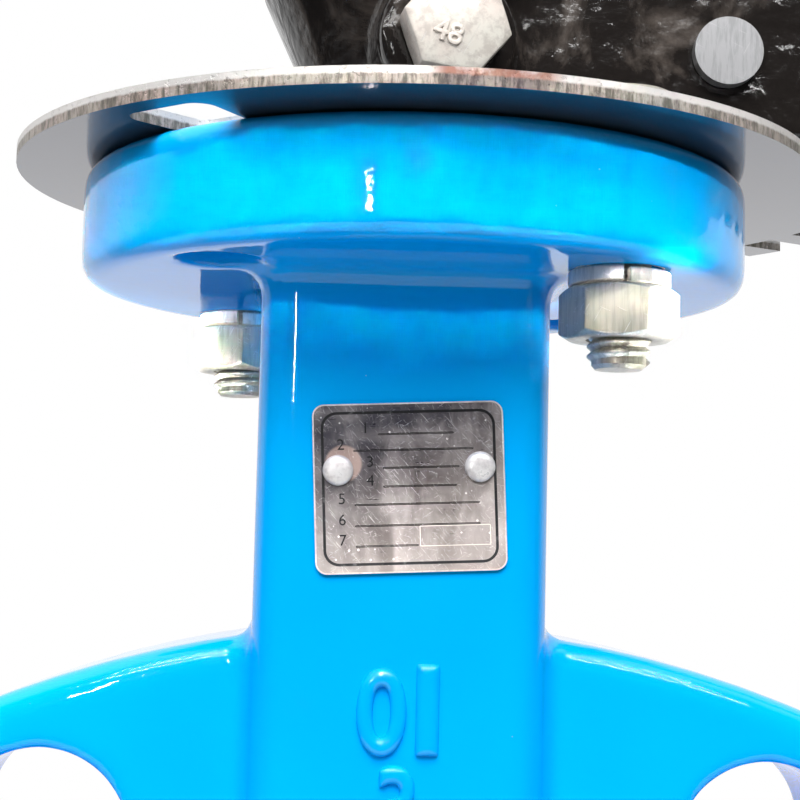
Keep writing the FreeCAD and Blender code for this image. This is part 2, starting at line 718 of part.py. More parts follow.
def make_lever():
    """Cast lever: a flared hub on the stem and an arm that is a channel open below."""
    hub = new_body("lever_hub")
    turn_profile(hub, [
        ("0", HUB_FOOT), ("hub_radius", HUB_FOOT), ("hub_radius", f"{PLATE_TOP} + hub_taper_start"),
        ("hub_flare", f"{PLATE_TOP} + hub_taper_end"), ("hub_flare", f"{HUB_TOP} - hub_edge"),
        ("hub_flare - hub_edge", HUB_TOP), ("0", HUB_TOP),
    ])
    arm = new_body("lever_arm")
    side_view = new_sketch(arm, "XZ_Plane")
    add_outline(side_view, [
        ("0", f"{PLATE_TOP} + 3"), ("pivot_reach + 12", f"{PLATE_TOP} + 3"),
        ("pivot_reach + 40", f"{PLATE_TOP} + 15"), ("arm_length - 4", arm_top("arm_length", "-18")),
        ("arm_length", arm_top("arm_length", "-12")), ("arm_length - 4", arm_top("arm_length", "0")),
        ("0", arm_top("0", "0")),
    ])
    pad(arm, side_view, "2 * arm_half_width", symmetric=True)
    fillet(arm, "arm_edge", lambda edge: near(abs(edge.CenterOfMass.y), value("arm_half_width"))
           and edge.Length > 200 and edge.CenterOfMass.z > value(arm_top("arm_length / 2", "-5")))
    channel = new_sketch(arm, "XZ_Plane")
    start, end = "hub_flare + 2", "arm_length - 8"
    add_outline(channel, [
        (start, "top_face - 10"), (end, "top_face - 10"),
        (end, arm_top(end, "-arm_wall")), (start, arm_top(start, "-arm_wall")),
    ])
    pocket(arm, channel, "2 * (arm_half_width - arm_wall)", symmetric=True)
    boss = primitive("Cylinder", "clamp_boss", {"Radius": "clamp_flats / 2 + 3", "Height": CLAMP_FACE},
                     ("0", "0", CLAMP_LEVEL), clamp_rotation())
    blank = combine("MultiFuse", "lever_blank", [hub, arm, boss])
    bore_round = primitive("Cylinder", "lever_bore_round", {"Radius": BEARING_BORE, "Height": STEM_END},
                           ("0", "0", "0"))
    bore_flats = new_body("lever_bore_flats")
    flats = new_sketch(bore_flats, "XY_Plane")
    half = "stem_flats / 2 + flat_gap"
    corners = [(half, "-20"), (half, "20"), (f"-({half})", "20"), (f"-({half})", "-20")]
    add_outline(flats, [clamp_corner(out, along) for out, along in corners])
    pad(bore_flats, flats, f"{HUB_TOP} + 10")
    bore = combine("MultiCommon", "lever_bore", [bore_round, bore_flats])
    bore_mouth = primitive("Cylinder", "lever_bore_mouth", {"Radius": "stem_radius + 1", "Height": "20"},
                           ("0", "0", f"{STEM_END} - 1.5"))
    clamp_hole = primitive("Cylinder", "clamp_hole", {"Radius": "bolt_radius + fit_gap", "Height": "40"},
                           ("0", "0", CLAMP_LEVEL), clamp_rotation())
    pin_hole = primitive("Cylinder", "latch_pin_hole",
                         {"Radius": "pivot_radius + fit_gap", "Height": "4 * arm_half_width"},
                         ("pivot_reach", "-2 * arm_half_width", PIVOT_LEVEL), ALONG_Y)
    return cut("lever", blank, [bore, bore_mouth, clamp_hole, pin_hole])


def arm_top(across, lift):
    """Height of the arm's sloping top at a distance from the stem, plus a lift."""
    return f"{PLATE_TOP} + arm_rise + ({across}) * arm_slope + ({lift})"


def clamp_rotation():
    angle = math.radians(SIZES["clamp_angle"])
    return FreeCAD.Rotation(Vector(0, 0, 1), Vector(math.sin(angle), -math.cos(angle), 0))


def make_clamp_bolt():
    """Hexagon set bolt whose tip presses on the stem's flat."""
    body = new_body("clamp_bolt")
    shank = new_sketch(body, "XY_Plane", "stem_flats / 2 + flat_gap / 2")
    add_circle(shank, "0", "0", "bolt_radius")
    pad(body, shank, f"{CLAMP_FACE} - stem_flats / 2")
    collar = new_sketch(body, "XY_Plane", f"{CLAMP_FACE} + fit_gap")
    add_circle(collar, "0", "0", "clamp_flats / 2 - clamp_collar")
    pad(body, collar, "clamp_collar")
    head = new_sketch(body, "XY_Plane", f"{CLAMP_FACE} + fit_gap + clamp_collar - 0.1")
    add_outline(head, regular_corners("0", "0", "clamp_flats", turn=CLAMP_HEAD_TURN))
    pad(body, head, "bolt_head")
    body.Placement = FreeCAD.Placement(Vector(), clamp_rotation())
    bind(body, "Placement.Base.z", CLAMP_LEVEL)
    return body


def trigger_top(across):
    """Height of the sloping top of the trigger's tail at a distance from the stem."""
    return f"{PLATE_TOP} + 9 + (({across}) - {TAIL_START}) * tail_slope"


def make_latch_trigger():
    """Squeeze trigger that pivots in the arm, with the tooth that drops into a notch."""
    body = new_body("latch_trigger")
    side_view = new_sketch(body, "XZ_Plane")
    add_outline(side_view, [
        ("pivot_reach - 4", f"{PIVOT_LEVEL} - 5"), ("fan_radius - 14", f"{PLATE_TOP} + 6"),
        ("fan_radius + 4", f"{PLATE_TOP} + 4"), ("latch_reach - 10", f"{PLATE_TOP} + 9"),
        ("latch_reach", f"{PLATE_TOP} + 6"), ("latch_reach + 2", f"{PLATE_TOP} + 9"),
        ("latch_reach - 8", trigger_top("latch_reach - 8")), (TAIL_START, trigger_top(TAIL_START)),
        ("fan_radius - 14", f"{PIVOT_LEVEL} + 2"), ("pivot_reach - 4", f"{PIVOT_LEVEL} + 5"),
    ])
    pad(body, side_view, "2 * latch_half_width", symmetric=True)
    eye = new_sketch(body, "XZ_Plane")
    add_circle(eye, "pivot_reach", PIVOT_LEVEL, "pivot_radius + eye_wall")
    pad(body, eye, "2 * latch_half_width", symmetric=True)
    tooth = new_sketch(body, "XZ_Plane")
    tooth_start, tooth_end = "fan_radius - tooth_inset", "fan_radius - tooth_inset + tooth_width"
    add_box_outline(tooth, tooth_start, tooth_end, f"{PLATE_TOP} + tooth_gap", f"{PLATE_TOP} + 7")
    pad(body, tooth, "notch_width - 0.6", symmetric=True)
    hole = new_sketch(body, "XZ_Plane")
    add_circle(hole, "pivot_reach", PIVOT_LEVEL, "pivot_radius + running_gap")
    pocket(body, hole, "4 * latch_half_width", symmetric=True)
    return body


def make_pivot_pin():
    """Headed pin through both walls of the arm, grooved for its clip."""
    tip = "arm_half_width + 3"
    body = turned("latch_pivot_pin", [
        ("0", "-arm_half_width - 2.2"), ("pivot_radius + 1.5", "-arm_half_width - 2.2"),
        ("pivot_radius + 1.5", "-arm_half_width - 0.1"), ("pivot_radius", "-arm_half_width - 0.1"),
        ("pivot_radius", "arm_half_width + 0.2"), (CLIP_BORE, "arm_half_width + 0.2"),
        (CLIP_BORE, "arm_half_width + 1.3"), ("pivot_radius", "arm_half_width + 1.3"),
        ("pivot_radius", f"{tip} - 0.6"), ("pivot_radius - 0.6", tip), ("0", tip),
    ])
    place_on_pivot(body)
    return body


def make_pin_clip():
    """Open ring in the pin's groove."""
    body = new_body("latch_pin_clip")
    turn_profile(body, ring_corners(f"{CLIP_BORE} + fit_gap", "pivot_radius + 2.2",
                                    "arm_half_width + 0.25", "arm_half_width + 1.25"))
    opening = new_sketch(body, "XY_Plane", "arm_half_width + 3")
    add_box_outline(opening, "-1.6", "1.6", "0", "pivot_radius + 4")
    pocket(body, opening, "5")
    place_on_pivot(body)
    return body


def place_on_pivot(body):
    """Turn a piece made along Z to lie along Y on the latch's pivot."""
    body.Placement = FreeCAD.Placement(Vector(), ALONG_Y)
    bind(body, "Placement.Base.x", "pivot_reach")
    bind(body, "Placement.Base.z", PIVOT_LEVEL)


def make_latch_spring():
    """Compression spring between the trigger and the arm."""
    outer = "spring_radius + spring_wire"
    low = value(f"{trigger_top(f'spring_reach + {outer}')} + spring_gap")
    high = value(f"{arm_top(f'spring_reach - ({outer})', '-arm_wall')} - spring_gap")
    radius, wire = SIZES["spring_radius"], SIZES["spring_wire"]
    turns = 6.0
    height = high - low - 2 * wire
    path = Part.makeHelix(height / turns, height, radius)
    circle = Part.makeCircle(wire, Vector(radius, 0, 0), Vector(0, 1, 0))
    coil = Part.Wire(path).makePipeShell([Part.Wire(circle)], True, True)
    spring = doc.addObject("Part::Feature", "latch_spring")
    spring.Shape = coil
    spring.Label = "latch_spring"
    spring.Placement = FreeCAD.Placement(Vector(SIZES["spring_reach"], 0, low + wire), FreeCAD.Rotation())
    return spring


# ---------------------------------------------------------------- nameplate

def make_nameplate():
    """Thin plate on the front of the neck, a little turned."""
    body = new_body("nameplate")
    outline = new_sketch(body, "XZ_Plane", "neck_depth / 2")
    half_wide, half_high = "label_width / 2", "label_height / 2"
    corners = [(f"-{half_wide}", f"-{half_high}"), (half_wide, f"-{half_high}"),
               (half_wide, half_high), (f"-{half_wide}", half_high)]
    add_outline(outline, [label_point(across, up) for across, up in corners])
    pad(body, outline, "label_thickness")
    fillet(body, "label_corner", lambda edge: near(edge.Length, value("label_thickness")))
    holes = new_sketch(body, "XZ_Plane", "neck_depth / 2")
    for side in ("-", ""):
        across, up = label_point(f"{side}rivet_spacing / 2", "rivet_rise")
        add_circle(holes, across, up, "rivet_shank + fit_gap")
    pocket(body, holes, "label_thickness", backwards=True)
    return body


def make_rivets():
    """Two domed drive rivets that hold the nameplate."""
    body = new_body("nameplate_rivets")
    heads = new_sketch(body, "XZ_Plane", "neck_depth / 2 + label_thickness")
    shanks = new_sketch(body, "XZ_Plane", "neck_depth / 2 + label_thickness")
    for side in ("-", ""):
        across, up = label_point(f"{side}rivet_spacing / 2", "rivet_rise")
        add_circle(heads, across, up, "rivet_head")
        add_circle(shanks, across, up, "rivet_shank")
    pad(body, heads, "rivet_dome")
    pad(body, shanks, "rivet_depth", backwards=True)
    front = -value("neck_depth / 2 + label_thickness + rivet_dome")
    fillet(body, "rivet_dome - 0.05", lambda edge: near(edge.BoundBox.YMin, front, 0.01)
           and near(edge.BoundBox.YMax, front, 0.01))
    return body


# ---------------------------------------------------------------- build, check and write

MAKERS = [
    make_body_casting, make_seat_liner, make_lower_bushing, make_middle_bushing, make_upper_bushing,
    make_o_rings, make_thrust_washer, make_dust_seal, make_bottom_plug, make_plug_seal,
    make_stem, make_circlip, make_disc, make_disc_pins,
    make_notch_plate, make_plate_bolts, make_spring_washers, make_nuts,
    make_lever, make_clamp_bolt, make_latch_trigger, make_pivot_pin, make_pin_clip, make_latch_spring,
    make_nameplate, make_rivets,
]
for maker in MAKERS:
    nodes.append(maker())
doc.recompute()

for thing in doc.Objects:
    if "Invalid" in thing.State or "Error" in thing.State:
        raise ValueError(f"{thing.Label} did not build: {thing.State}")
for node in nodes:
    if node.Shape.isNull() or not node.Shape.isValid() or not node.Shape.Solids:
        raise ValueError(f"{node.Label} has no valid solid")

os.makedirs("parts", exist_ok=True)
for node in nodes:
    node.Shape.exportStep(os.path.join("parts", node.Label + ".step"))
    box = node.Shape.BoundBox
    corners = [box.XMin, box.XMax, box.YMin, box.YMax, box.ZMin, box.ZMax]
    print(f"{node.Label}: {len(node.Shape.Solids)} solid(s), {node.Shape.Volume:.1f} mm3,",
          *(f"{number:.1f}" for number in corners))
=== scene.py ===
import math

import bmesh
import bpy
from mathutils import Matrix, Vector


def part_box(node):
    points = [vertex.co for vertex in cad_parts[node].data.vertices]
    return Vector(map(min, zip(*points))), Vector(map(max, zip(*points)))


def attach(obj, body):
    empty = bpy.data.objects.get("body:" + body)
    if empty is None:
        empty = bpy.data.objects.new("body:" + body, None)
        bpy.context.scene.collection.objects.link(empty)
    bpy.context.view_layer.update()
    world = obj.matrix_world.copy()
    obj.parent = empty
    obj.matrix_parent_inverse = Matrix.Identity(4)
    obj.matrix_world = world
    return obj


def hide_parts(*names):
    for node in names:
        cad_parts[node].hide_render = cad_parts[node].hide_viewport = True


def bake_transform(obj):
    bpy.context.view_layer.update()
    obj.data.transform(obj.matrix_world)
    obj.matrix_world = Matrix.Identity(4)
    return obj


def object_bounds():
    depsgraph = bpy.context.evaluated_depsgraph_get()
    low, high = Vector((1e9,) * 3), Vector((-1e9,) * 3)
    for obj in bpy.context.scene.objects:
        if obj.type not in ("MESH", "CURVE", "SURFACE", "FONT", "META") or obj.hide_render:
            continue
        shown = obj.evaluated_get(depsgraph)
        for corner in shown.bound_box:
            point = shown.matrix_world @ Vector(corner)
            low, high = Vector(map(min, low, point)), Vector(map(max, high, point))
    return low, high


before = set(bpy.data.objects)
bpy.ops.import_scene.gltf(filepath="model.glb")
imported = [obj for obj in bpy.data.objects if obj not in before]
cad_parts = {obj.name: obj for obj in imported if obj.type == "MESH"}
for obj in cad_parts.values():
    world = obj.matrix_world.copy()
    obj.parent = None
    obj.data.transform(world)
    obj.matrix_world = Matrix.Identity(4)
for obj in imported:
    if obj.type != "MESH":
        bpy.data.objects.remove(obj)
cad_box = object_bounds()

# Everything is in metres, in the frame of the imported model: Z up the stem, Y along the pipe.
MM = 0.001
PLATE_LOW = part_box("notch_plate")[0][2]

BLUE_DEEP = (0.0, 0.390, 0.93)
BLUE_BRIGHT = (0.0, 0.430, 0.98)
GLOSS_FRONT = (0.012, 0.014, 0.018)
FILL_FRONT = (0.02, 0.02, 0.02)
FILL_BACK = (0.42, 0.42, 0.43)


# ---------------------------------------------------------------- camera, lamps and surroundings

CAMERA_PLACE = Vector((-8.8, -237.4, 146.9)) * MM
CAMERA_PITCH = math.radians(5.23)
CAMERA_YAW = math.radians(1.80)
CAMERA_ROLL = math.radians(1.37)
CAMERA_LENS = 78.3


def make_camera():
    """A camera below the top flange that looks a little upwards."""
    forward = Vector((math.sin(CAMERA_YAW) * math.cos(CAMERA_PITCH),
                      math.cos(CAMERA_YAW) * math.cos(CAMERA_PITCH), math.sin(CAMERA_PITCH)))
    level = Vector((math.cos(CAMERA_YAW), -math.sin(CAMERA_YAW), 0.0))
    above = level.cross(forward)
    right = math.cos(CAMERA_ROLL) * level + math.sin(CAMERA_ROLL) * above
    up = right.cross(forward)
    data = bpy.data.cameras.new("camera")
    data.lens = CAMERA_LENS
    data.sensor_width = 36.0
    data.clip_start = 0.01
    data.clip_end = 20.0
    camera = bpy.data.objects.new("camera", data)
    turn = Matrix((right, up, -forward)).transposed()
    camera.matrix_world = Matrix.Translation(CAMERA_PLACE) @ turn.to_4x4()
    bpy.context.collection.objects.link(camera)
    bpy.context.scene.camera = camera


def make_lamp(name, place, target, size, watts, height=None, spread=None):
    """A soft rectangular lamp that faces a point, with its beam narrowed to spread degrees if given."""
    data = bpy.data.lights.new(name, "AREA")
    data.shape = "RECTANGLE"
    data.size = size
    data.size_y = size if height is None else height
    data.energy = watts
    if spread is not None:
        data.spread = math.radians(spread)
    lamp = bpy.data.objects.new(name, data)
    lamp.location = place
    lamp.rotation_euler = (Vector(target) - Vector(place)).to_track_quat("-Z", "Y").to_euler()
    bpy.context.collection.objects.link(lamp)
    return lamp


# ---------------------------------------------------------------- shader expressions

class Socket:
    """A shader output, with arithmetic that adds the nodes it needs."""

    def __init__(self, shader, link):
        self.shader = shader
        self.link = link

    def maths(self, operation, *others):
        return self.shader.node("Math", {"operation": operation}, dict(enumerate((self, *others))))

    def __add__(self, other):
        return self.maths("ADD", other)

    def __sub__(self, other):
        return self.maths("SUBTRACT", other)

    def __mul__(self, other):
        return self.maths("MULTIPLY", other)

    def __rsub__(self, other):
        return self.shader.node("Math", {"operation": "SUBTRACT"}, {0: other, 1: self})

    __radd__ = __add__
    __rmul__ = __mul__

    def above(self, level):
        return self.maths("GREATER_THAN", level)

    def steps(self, low, high):
        """0 below low, 1 above high, and smooth between."""
        inputs = {"Value": self, "From Min": low, "From Max": high}
        return self.shader.node("MapRange", {"interpolation_type": "SMOOTHSTEP"}, inputs)


class Shader:
    """A material or world tree, built from expressions."""

    def __init__(self, owner):
        owner.use_nodes = True
        self.tree = owner.node_tree
        self.tree.nodes.clear()

    def node(self, kind, settings=None, inputs=None, output=0):
        """Add a node, set it up, feed its sockets, and return one of its outputs."""
        made = self.tree.nodes.new("ShaderNode" + kind)
        for name, setting in (settings or {}).items():
            setattr(made, name, setting)
        for key, given in (inputs or {}).items():
            socket = made.inputs[key]
            if isinstance(given, Socket):
                self.tree.links.new(given.link, socket)
            else:
                socket.default_value = given
        return Socket(self, made.outputs[output]) if made.outputs else None

    def mix(self, factor, first, second):
        """Mix two colours."""
        made = self.tree.nodes.new("ShaderNodeMix")
        made.data_type = "RGBA"
        sockets = {"Factor_Float": factor, "A_Color": first, "B_Color": second}
        for socket in made.inputs:
            if socket.identifier in sockets:
                given = sockets[socket.identifier]
                if isinstance(given, Socket):
                    self.tree.links.new(given.link, socket)
                elif isinstance(given, tuple):
                    socket.default_value = (*given, 1.0)
                else:
                    socket.default_value = given
        return Socket(self, next(o for o in made.outputs if o.identifier == "Result_Color"))

    def place(self, scale=(1.0, 1.0, 1.0), turn=(0.0, 0.0, 0.0)):
        """Object coordinates, turned and scaled."""
        spot = self.node("TexCoord", output="Object")
        return self.node("Mapping", inputs={"Vector": spot, "Rotation": turn, "Scale": scale})

    def axis(self, where, letter):
        """One coordinate of a place or a direction."""
        return self.node("SeparateXYZ", inputs={"Vector": where}, output=letter)

    def noise(self, where, scale, detail=4.0, roughness=0.55, distortion=0.0):
        inputs = {"Vector": where, "Scale": scale, "Detail": detail, "Roughness": roughness,
                  "Distortion": distortion}
        return self.node("TexNoise", inputs=inputs)

    def scratches(self, angle, fine=0.12 * MM, length=4.0 * MM, share=0.70):
        """Thin straight scratches that run at an angle, seen along Y."""
        inputs = {"Vector": self.node("TexCoord", output="Object"),
                  "Rotation": (0.0, math.radians(angle), 0.0), "Scale": (length, fine * 8, fine)}
        streaks = self.node("Mapping", {"vector_type": "TEXTURE"}, inputs)
        return self.noise(streaks, 1.0, detail=1.0, roughness=0.4).steps(share, share + 0.05)

    def spots(self, where, scale):
        """Distance to the nearest of many scattered points."""
        inputs = {"Vector": where, "Scale": scale, "Randomness": 1.0}
        return self.node("TexVoronoi", {"feature": "F1"}, inputs)

    def bump(self, height, distance):
        return self.node("Bump", inputs={"Height": height, "Distance": distance, "Strength": 1.0})

    def finish(self, inputs):
        """Feed a Principled surface and the output."""
        surface = self.node("BsdfPrincipled", inputs=inputs)
        self.node("OutputMaterial", inputs={"Surface": surface})


def new_material(name):
    material = bpy.data.materials.new(name)
    return material, Shader(material)


# ---------------------------------------------------------------- finishes

def blue_paint():
    """Thick glossy blue paint over a casting: orange peel, sags and a few dust nibs."""
    material, shader = new_material("blue_paint")
    spot = shader.place()
    drift = shader.noise(spot, 22.0, detail=2.0).steps(0.3, 0.7)
    colour = shader.mix(drift, BLUE_DEEP, BLUE_BRIGHT)
    dust = shader.spots(spot, 420.0).maths("LESS_THAN", 0.045) * shader.noise(spot, 60.0).above(0.62)
    colour = shader.mix(dust * 0.35, colour, (0.45, 0.62, 0.78))
    smear = shader.noise(spot, 70.0, detail=5.0, distortion=1.2).steps(0.55, 0.8)
    peel = shader.noise(spot, 300.0, detail=2.0)
    sag = shader.noise(spot, 55.0, detail=1.0)
    height = peel * 1.3 + sag * 2.4 + dust * 0.8
    shader.finish({
        "Base Color": colour, "Roughness": smear * 0.07 + 0.035, "IOR": 1.56,
        "Normal": shader.bump(height, 0.024 * MM),
    })
    return material


def black_paint():
    """Wet-looking black paint over a coarse sand casting."""
    material, shader = new_material("black_casting_paint")
    spot = shader.place()
    grain = shader.noise(spot, 300.0, detail=5.0, roughness=0.55)
    lumps = shader.noise(spot, 95.0, detail=3.0)
    drips = shader.noise(shader.place(scale=(180.0, 180.0, 60.0)), 1.0, detail=3.0, distortion=0.8)
    patches = shader.noise(spot, 70.0, detail=6.0, roughness=0.65, distortion=0.6).steps(0.5, 0.72)
    colour = shader.mix(patches, (0.012, 0.010, 0.009), (0.078, 0.064, 0.055))
    height = lumps * 1.3 + drips * 0.8 + grain * 0.35
    shader.finish({
        "Base Color": colour, "Roughness": patches * 0.12 + grain * 0.08 + 0.07, "IOR": 1.55,
        "Normal": shader.bump(height, 0.55 * MM),
    })
    return material


def metal(name, colour, dull, rough, shine=1.0, grain=(600.0, 600.0, 600.0), scratch=0.5, depth=0.01,
          blotch=40.0):
    """Bare or plated metal with blotches of tone, fine grain and scratches."""
    material, shader = new_material(name)
    spot = shader.place()
    blotches = shader.noise(spot, blotch, detail=5.0, roughness=0.6).steps(0.3, 0.75)
    fine = shader.noise(shader.place(scale=grain), 1.0, detail=3.0, roughness=0.7)
    scratches = shader.scratches(25.0).maths("MAXIMUM", shader.scratches(-62.0)) * scratch
    tone = shader.mix(blotches, colour, dull)
    tone = shader.mix(fine.steps(0.42, 0.66) * 0.40, tone, tuple(part * 0.45 for part in dull))
    tone = shader.mix(scratches * 0.5, tone, (0.92, 0.92, 0.92))
    shader.finish({
        "Base Color": tone, "Metallic": shine,
        "Roughness": fine * 0.16 + blotches * 0.10 + (rough - 0.10),
        "Normal": shader.bump(fine * 0.6 + scratches * -0.8, depth * MM),
    })
    return material


def plate_steel():
    """Smooth rolled steel on the faces with painted shade on the underside, a torn shear edge round the sides
    and a reddish-brown patch in front.
    """
    material, shader = new_material("plate_steel")
    spot = shader.place()
    facing = shader.axis(shader.node("TexCoord", output="Normal"), "Z")
    side = 1.0 - facing.maths("ABSOLUTE").steps(0.35, 0.6)
    height = shader.axis(spot, "Z")
    torn = shader.noise(shader.place(scale=(900.0, 900.0, 260.0)), 1.0, detail=5.0, roughness=0.7)
    blotches = shader.noise(spot, 38.0, detail=4.0).steps(0.4, 0.7)
    fine = shader.noise(spot, 900.0, detail=2.0)
    burnish = (height + torn * (0.5 * MM)).steps(PLATE_LOW + 1.25 * MM, PLATE_LOW + 1.6 * MM)
    upright = shader.place(scale=(1500.0, 1500.0, 330.0))
    streaks = shader.noise(upright, 1.0, detail=4.0, roughness=0.7).steps(0.36, 0.62)
    light = shader.mix(blotches, (0.42, 0.39, 0.35), (0.46, 0.36, 0.32))
    edge = shader.mix(burnish, shader.mix(streaks, (0.13, 0.12, 0.10), light), (0.70, 0.68, 0.66))
    pits = shader.noise(spot, 1500.0, detail=3.0, roughness=0.7).steps(0.56, 0.70)
    edge = shader.mix(pits * (1.0 - burnish * 0.6) * 0.75, edge, (0.20, 0.18, 0.16))
    # A reddish-brown patch on the front of the edge.
    across = shader.axis(spot, "X")
    front = 1.0 - shader.axis(spot, "Y").steps(-0.045, -0.035)
    front_patch = front * across.steps(-0.0014, 0.0014) * (1.0 - across.steps(0.0118, 0.0150))
    patch_noise = shader.noise(spot, 420.0, detail=4.0, roughness=0.65).steps(0.30, 0.58)
    patch_tone = shader.mix(streaks, (0.06, 0.05, 0.05), (0.20, 0.17, 0.16))
    edge = shader.mix(front_patch * (patch_noise * 0.55 + 0.40), edge, shader.mix(burnish, patch_tone, (0.30, 0.13, 0.09)))
    clouds = shader.noise(spot, 60.0, detail=6.0).steps(0.35, 0.8)
    face = shader.mix(clouds, (0.46, 0.47, 0.49), (0.34, 0.34, 0.36))
    # Painted shade: the underside of the plate gets a darker colour.
    face = shader.mix(facing.steps(-0.4, -0.8), face, (0.15, 0.15, 0.17))
    rough = side * (torn * 0.25 + 0.30) + (1.0 - side) * (fine * 0.06 + 0.05)
    shader.finish({
        "Base Color": shader.mix(side, face, edge), "Metallic": 0.82 - side * 0.44, "Roughness": rough,
        "Normal": shader.bump(side * (torn * 1.2 + pits * -0.8) + fine * 0.04, 0.12 * MM),
    })
    return material


def rubber():
    """Moulded black rubber with a faint bloom."""
    material, shader = new_material("moulded_rubber")
    spot = shader.place()
    bloom = shader.noise(spot, 35.0, detail=5.0).steps(0.4, 0.8)
    fine = shader.noise(spot, 700.0, detail=3.0)
    colour = shader.mix(bloom * 0.6, (0.016, 0.016, 0.017), (0.055, 0.055, 0.056))
    shader.finish({"Base Color": colour, "Roughness": fine * 0.2 + 0.42,
                   "Normal": shader.bump(fine, 0.02 * MM)})
    return material


def label_metal():
    """A bare stamped nameplate, smeared and scuffed, with a painted reflection that darkens its upper left,
    painted sheen in slanted bands and a pinkish ring round one rivet.
    """
    material, shader = new_material("label_metal")
    spot = shader.place()
    brushed = shader.noise(shader.place(scale=(160.0, 160.0, 4200.0)), 1.0, detail=4.0, roughness=0.7)
    across = shader.axis(spot, "X")
    up = shader.axis(spot, "Z")
    # Painted reflection: the plate's colour darkens towards its upper left.
    drift = (across * 0.6 - up + 0.155).steps(-0.014, 0.012)
    smears = shader.noise(shader.place(scale=(260.0, 100.0, 90.0), turn=(0.0, 0.55, 0.0)), 1.0, detail=5.0,
                          roughness=0.62, distortion=0.9).steps(0.38, 0.72)
    worn = shader.scratches(48.0, 0.05 * MM, 2.4 * MM, 0.70)
    for angle in (-35.0, 12.0, 74.0):
        worn = worn.maths("MAXIMUM", shader.scratches(angle, 0.05 * MM, 1.4 * MM, 0.72))
    specks = shader.spots(spot, 900.0).maths("LESS_THAN", 0.13) * shader.noise(spot, 240.0).above(0.56)
    # Painted sheen: lighter slanted bands in the plate's colour.
    slanted = shader.place(scale=(75.0, 75.0, 240.0), turn=(0.0, 0.75, 0.0))
    painted_sheen = shader.noise(slanted, 1.0, detail=3.0).steps(0.35, 0.7)
    tone = shader.mix(drift, (0.070, 0.066, 0.085), (0.36, 0.305, 0.28))
    tone = shader.mix(smears * 0.28 + painted_sheen * 0.22, tone, (0.82, 0.75, 0.72))
    # A pinkish ring round one rivet.
    halo = label_place(*HALO_CENTRE).translation
    reach = ((across - halo.x) * (across - halo.x) + (up - halo.z) * (up - halo.z)).maths("SQRT")
    tone = shader.mix(reach.steps(2.45 * MM, 2.05 * MM) * 0.55, tone, (0.92, 0.66, 0.56))
    tone = shader.mix((worn + specks).maths("MINIMUM", 1.0) * 0.75, tone, (1.0, 0.98, 0.96))
    shader.finish({
        "Base Color": tone, "Metallic": 0.62,
        "Roughness": brushed * 0.2 + smears * 0.15 + 0.2,
        "Normal": shader.bump(brushed * 0.5 + worn * -0.8, 0.012 * MM),
    })
    return material


def print_ink(name, colour, faded):
    """Worn print on the nameplate."""
    material, shader = new_material(name)
    worn = shader.noise(shader.place(), 900.0, detail=4.0).steps(0.60, 0.72)
    shader.finish({"Base Color": shader.mix(worn * 0.5, colour, faded), "Roughness": worn * 0.3 + 0.35})
    return material


def disc_metal():
    """Plated ductile iron, satin with cast texture under the plating."""
    material, shader = new_material("disc_plating")
    spot = shader.place()
    cast = shader.noise(spot, 240.0, detail=5.0, roughness=0.6)
    blotches = shader.noise(spot, 28.0, detail=5.0).steps(0.3, 0.75)
    tone = shader.mix(blotches, (0.56, 0.57, 0.57), (0.42, 0.42, 0.41))
    shader.finish({"Base Color": tone, "Metallic": 1.0, "Roughness": cast * 0.2 + 0.22,
                   "Normal": shader.bump(cast, 0.06 * MM)})
    return material


def floor_finish():
    """Plain white that stays white where it is lit and keeps the shadow."""
    material, shader = new_material("pale_floor")
    path = shader.node("LightPath", output="Is Camera Ray")
    grain = shader.noise(shader.place(), 9.0, detail=2.0)
    colour = shader.mix(grain, (0.38, 0.38, 0.38), (0.42, 0.42, 0.42))
    surface = shader.node("BsdfPrincipled", inputs={"Base Color": colour, "Roughness": 0.7})
    glow = shader.node("Emission", inputs={"Color": (1.0, 1.0, 1.0, 1.0), "Strength": path * 0.8})
    both = shader.node("AddShader", inputs={0: surface, 1: glow})
    shader.node("OutputMaterial", inputs={"Surface": both})
    return material


def make_world():
    """A white studio for the eye. Reflections see it dark in front, and it sheds plain light on the rest."""
    world = bpy.data.worlds.new("studio")
    bpy.context.scene.world = world
    shader = Shader(world)
    way = shader.node("TexCoord", output="Generated")
    depth = shader.axis(way, "Y")
    lift = depth + shader.axis(way, "Z") * 0.8
    gloss = shader.node("LightPath", output="Is Glossy Ray")
    camera = shader.node("LightPath", output="Is Camera Ray")
    clear = shader.node("LightPath", output="Is Transmission Ray")
    tone = shader.mix(depth.steps(-0.85, -0.1), FILL_FRONT, FILL_BACK)
    tone = shader.mix(gloss, tone, shader.mix(lift.steps(0.10, 0.65), GLOSS_FRONT, (1.0, 1.0, 1.0)))
    tone = shader.mix(camera.maths("MAXIMUM", clear), tone, (1.0, 1.0, 1.0))
    sky = shader.node("Background", inputs={"Color": tone, "Strength": 1.0})
    shader.node("OutputWorld", inputs={"Surface": sky})


# ---------------------------------------------------------------- making pieces

def dress(material, *nodes):
    """Give CAD nodes a finish."""
    for name in nodes:
        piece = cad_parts[name]
        if not piece.data.materials:
            piece.data.materials.append(material)
        for slot in piece.material_slots:
            slot.material = material


def new_piece(name, mesh, material, sharp=35.0):
    """Link a mesh as a smooth-shaded piece with creases kept."""
    mesh.materials.clear()
    mesh.materials.append(material)
    for face in mesh.polygons:
        face.use_smooth = True
    if sharp is not None:
        mesh.set_sharp_from_angle(angle=math.radians(sharp))
    piece = bpy.data.objects.new(name, mesh)
    bpy.context.collection.objects.link(piece)
    return piece


def mesh_from(bm, name):
    mesh = bpy.data.meshes.new(name)
    bm.to_mesh(mesh)
    bm.free()
    return mesh


